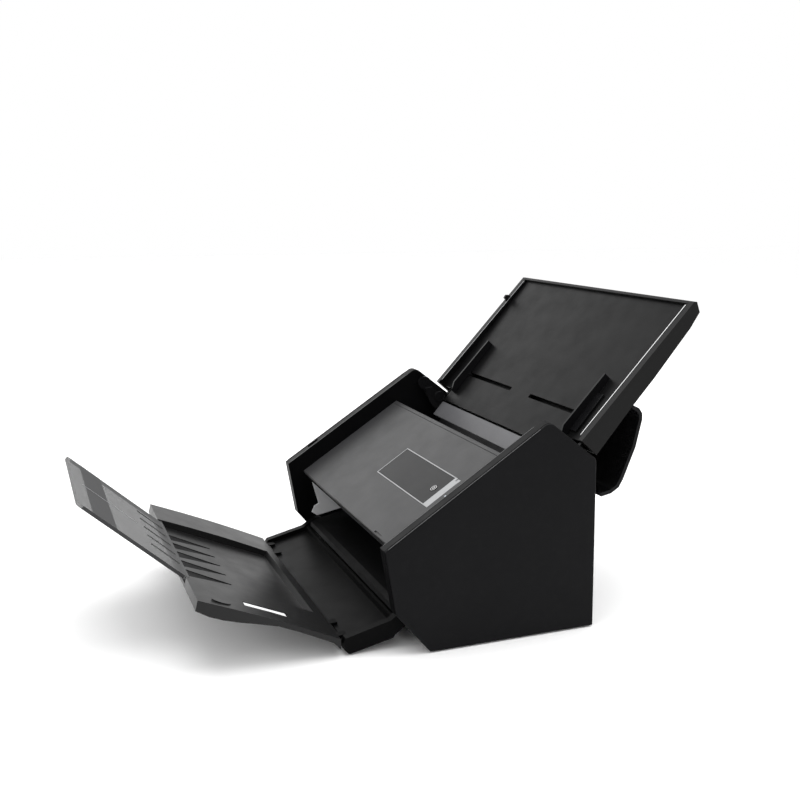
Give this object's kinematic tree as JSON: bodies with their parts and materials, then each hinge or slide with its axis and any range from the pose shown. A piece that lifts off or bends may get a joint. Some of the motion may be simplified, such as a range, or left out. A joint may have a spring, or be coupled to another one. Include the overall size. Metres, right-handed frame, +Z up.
{
  "type": "sheet fed document scanner",
  "caption": "Desktop document scanner standing open: hinged feed tray with sliding paper guides, folding output flaps with a smoked stop, lift-up front cover with a dark window and a round button.",
  "frame": {"origin": "centre of the open machine's box, on the surface it stands on", "axes": "+X to the machine's right side, +Y to its rear, +Z up"},
  "size_m": [0.29, 0.4796, 0.2625],
  "materials": {
    "dark_housing": "fine textured dark grey plastic",
    "mid_grey": "fine textured grey plastic",
    "cover_grey": "satin grey plastic",
    "light_plate": "pale grey plastic",
    "tray_grey": "fine textured grey plastic",
    "gloss_dark": "glossy dark plastic",
    "black_plastic": "black plastic",
    "silver_trim": "satin silver paint",
    "display_glass": "dark glossy window",
    "smoke": "smoked clear plastic",
    "steel": "bright steel",
    "zinc_sheet": "zinc plated sheet",
    "roller_rubber": "grooved roller rubber",
    "belt_rubber": "black belt rubber",
    "foot_rubber": "soft foot rubber",
    "bush_plastic": "off-white bearing plastic",
    "board_green": "green circuit board",
    "chip_black": "black moulded chips",
    "lamp": "clear lamp",
    "sensor_glass": "coated sensor glass"
  },
  "bodies": {
    "housing": {"bottom_cover": "dark_housing", "rubber_feet": "foot_rubber", "right_side_cover": "dark_housing", "left_side_cover": "dark_housing", "right_side_frame": "mid_grey", "left_side_frame": "mid_grey", "shaft_bushings": "bush_plastic", "tray_pivot_pins": "steel", "pivot_pins": "steel", "rear_panel": "dark_housing", "housing_screws": "steel", "power_inlet": "black_plastic", "usb_socket": "steel", "lower_guide": "black_plastic", "feed_chute": "light_plate", "feed_lip": "black_plastic", "chute_cheeks": "gloss_dark", "exit_deck": "black_plastic", "path_side_plates": "light_plate", "main_board": "board_green", "board_parts": "chip_black", "drive_belt": "belt_rubber", "drive_motor": "zinc_sheet", "hood_pins": "steel", "lower_image_sensor": "black_plastic", "lower_sensor_glass": "sensor_glass"},
    "motor": {"motor_rotor": "steel"},
    "pick": {"pick_shaft": "steel", "pick_rollers": "roller_rubber"},
    "feed": {"feed_shaft": "steel", "feed_rollers": "roller_rubber"},
    "exit": {"exit_shaft": "steel", "exit_rollers": "roller_rubber"},
    "cover": {"cover_shell": "cover_grey", "screen_trim": "silver_trim", "screen_glass": "display_glass", "display_panel": "black_plastic", "button_switch": "chip_black", "status_lamp": "lamp", "upper_guide": "black_plastic", "upper_side_plates": "light_plate", "upper_image_sensor": "black_plastic", "upper_sensor_glass": "sensor_glass"},
    "separation": {"separation_roller": "roller_rubber"},
    "upper_feed": {"upper_feed_roller": "roller_rubber"},
    "upper_exit": {"upper_exit_roller": "roller_rubber"},
    "button": {"touch_button": "gloss_dark"},
    "tray": {"tray_cover": "dark_housing", "tray_pan": "tray_grey", "side_rails": "gloss_dark", "hinge_arms": "zinc_sheet"},
    "guide_right": {"right_guide": "gloss_dark"},
    "guide_left": {"left_guide": "gloss_dark"},
    "pinion": {"guide_pinion": "bush_plastic"},
    "hood": {"rear_hood": "gloss_dark"},
    "flap_one": {"lower_flap": "mid_grey", "flap_hinge_pins": "steel"},
    "flap_two": {"middle_flap": "mid_grey", "stop_pins": "steel"},
    "stop": {"paper_stop": "smoke"}
  },
  "joints": [
    {"name": "tray_fold", "type": "hinge", "parent": "housing", "child": "tray", "pos_m": [0, 0.11488, 0.15925], "axis": [1, 0, 0], "range_deg": [0, 166.15]},
    {"name": "hood_fold", "type": "hinge", "parent": "housing", "child": "hood", "pos_m": [0, 0.15538, 0.103], "axis": [1, 0, 0], "range_deg": [0, 70.2]},
    {"name": "guide_slide", "type": "slide", "parent": "tray", "child": "guide_right", "axis": [-1, 0, 0], "range_m": [0, 0.08]},
    {"name": "guide_slide_left", "type": "slide", "parent": "tray", "child": "guide_left", "axis": [1, 0, 0], "range_m": [0, 0.08]},
    {"name": "pinion_turn", "type": "hinge", "parent": "tray", "child": "pinion", "pos_m": [0, 0.16055, 0.16556], "axis": [0, -0.7314, 0.682], "range_deg": [0, 560]},
    {"name": "cover_open", "type": "hinge", "parent": "housing", "child": "cover", "pos_m": [0, 0.00088, 0.071], "axis": [-1, 0, 0], "range_deg": [-70, 0]},
    {"name": "button_press", "type": "slide", "parent": "cover", "child": "button", "axis": [0, 0.5476, -0.8368], "range_m": [0, 0.0006], "stiffness_N_per_m": 800},
    {"name": "flap_one_fold", "type": "hinge", "parent": "housing", "child": "flap_one", "pos_m": [0, -0.00122, 0.02665], "axis": [-1, 0, 0], "range_deg": [0, 90]},
    {"name": "flap_two_fold", "type": "hinge", "parent": "flap_one", "child": "flap_two", "pos_m": [0, -0.05612, 0.0095], "axis": [-1, 0, 0], "range_deg": [0, 33.3]},
    {"name": "stop_fold", "type": "hinge", "parent": "flap_two", "child": "stop", "pos_m": [0, -0.16201, 0.05704], "axis": [-1, 0, 0], "range_deg": [0, 161.8]},
    {"name": "feed_turn", "type": "hinge", "parent": "housing", "child": "feed", "pos_m": [0, 0.08508, 0.08271], "axis": [1, 0, 0], "continuous": true},
    {"name": "pick_turn", "type": "hinge", "parent": "housing", "child": "pick", "pos_m": [0, 0.10532, 0.10206], "axis": [1, 0, 0], "continuous": true},
    {"name": "exit_turn", "type": "hinge", "parent": "housing", "child": "exit", "pos_m": [0, 0.04532, 0.04471], "axis": [1, 0, 0], "continuous": true},
    {"name": "motor_turn", "type": "hinge", "parent": "housing", "child": "motor", "pos_m": [0, 0.10288, 0.049], "axis": [1, 0, 0], "continuous": true},
    {"name": "separation_turn", "type": "hinge", "parent": "cover", "child": "separation", "pos_m": [0, 0.09413, 0.11377], "axis": [1, 0, 0], "continuous": true},
    {"name": "upper_feed_turn", "type": "hinge", "parent": "cover", "child": "upper_feed", "pos_m": [0, 0.07389, 0.09442], "axis": [1, 0, 0], "continuous": true},
    {"name": "upper_exit_turn", "type": "hinge", "parent": "cover", "child": "upper_exit", "pos_m": [0, 0.03413, 0.05642], "axis": [1, 0, 0], "continuous": true}
  ],
  "couplings": [
    {"joint": "hood_fold", "follows": "tray_fold", "ratio": 0.42251},
    {"joint": "guide_slide_left", "follows": "guide_slide", "ratio": 1},
    {"joint": "pinion_turn", "follows": "guide_slide", "rad_per_m": 119.05},
    {"joint": "pick_turn", "follows": "feed_turn", "ratio": 1},
    {"joint": "exit_turn", "follows": "feed_turn", "ratio": 1},
    {"joint": "motor_turn", "follows": "feed_turn", "ratio": 1.6261},
    {"joint": "upper_feed_turn", "follows": "feed_turn", "ratio": -1},
    {"joint": "upper_exit_turn", "follows": "feed_turn", "ratio": -1},
    {"joint": "separation_turn", "follows": "feed_turn", "ratio": -1}
  ]
}
